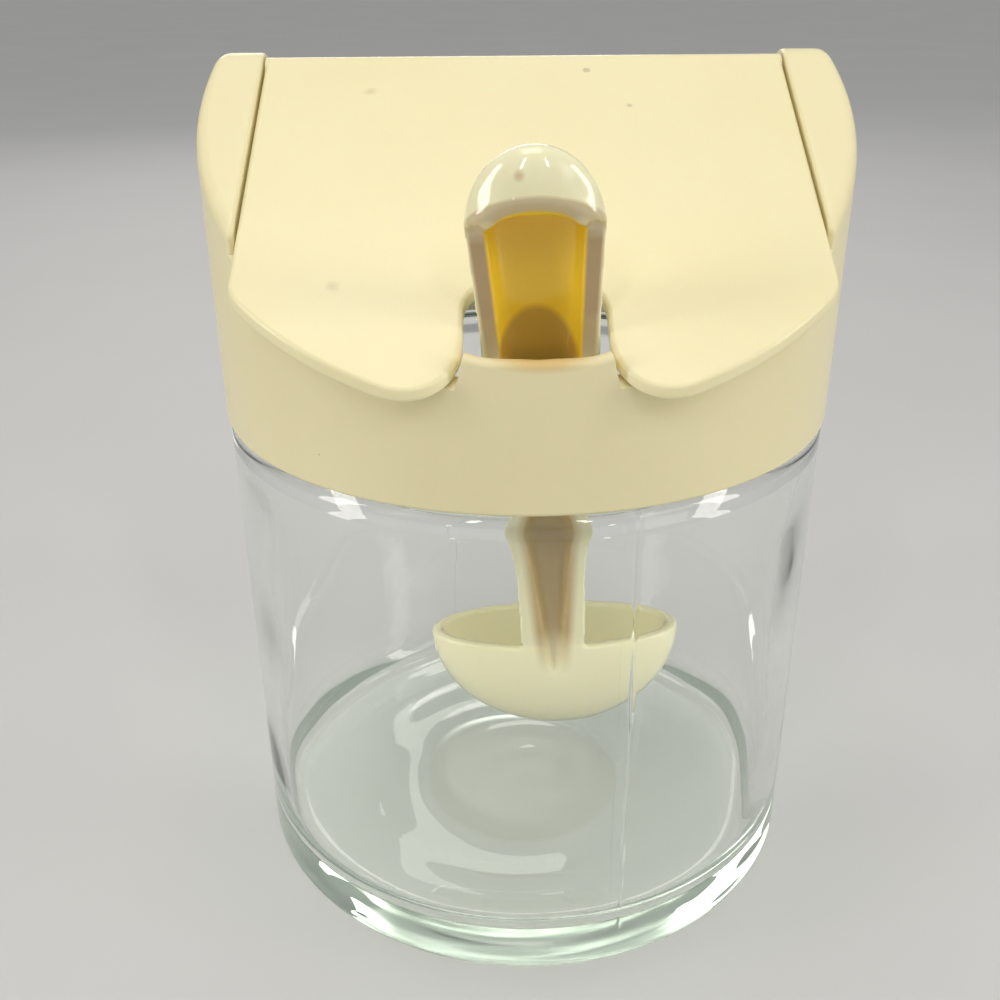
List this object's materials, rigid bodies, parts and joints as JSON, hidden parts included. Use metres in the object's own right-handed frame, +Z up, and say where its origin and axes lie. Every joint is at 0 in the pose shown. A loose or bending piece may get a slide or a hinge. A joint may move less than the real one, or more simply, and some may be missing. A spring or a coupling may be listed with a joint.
{
  "type": "sugar dispenser with flap",
  "caption": "Round glass table jar with a screw cap, a wide sloping hinged flap notched at the front, and a hooded long-handled spoon standing in the notch.",
  "frame": {"origin": "on the jar's axis, in the plane that the jar stands on", "axes": "+Z up along the jar's axis; -Y towards the front, where the spoon stands in the flap's notch; +X to the right as seen from the front"},
  "size_m": [0.0806, 0.0819, 0.1117],
  "materials": {
    "clear_glass": "clear, smooth",
    "cream_plastic": "soft gloss",
    "flap_plastic": "soft gloss",
    "translucent_plastic": "milky, translucent, glossy"
  },
  "bodies": {
    "jar": {"glass_jar": "clear_glass"},
    "cap": {"cap": "cream_plastic"},
    "flap": {"flap": "flap_plastic"},
    "spoon": {"spoon": "translucent_plastic"}
  },
  "joints": [
    {"name": "cap_lift", "type": "slide", "parent": "jar", "child": "cap", "axis": [0, 0, 1], "range_m": [0, 0.06]},
    {"name": "flap_hinge", "type": "hinge", "parent": "cap", "child": "flap", "pos_m": [0, 0.0075, 0.10895], "axis": [-1, 0, 0], "range_deg": [0, 140]},
    {"name": "spoon_lift", "type": "slide", "parent": "cap", "child": "spoon", "axis": [-0.0539, -0.1365, 0.9892], "range_m": [0, 0.034]}
  ]
}
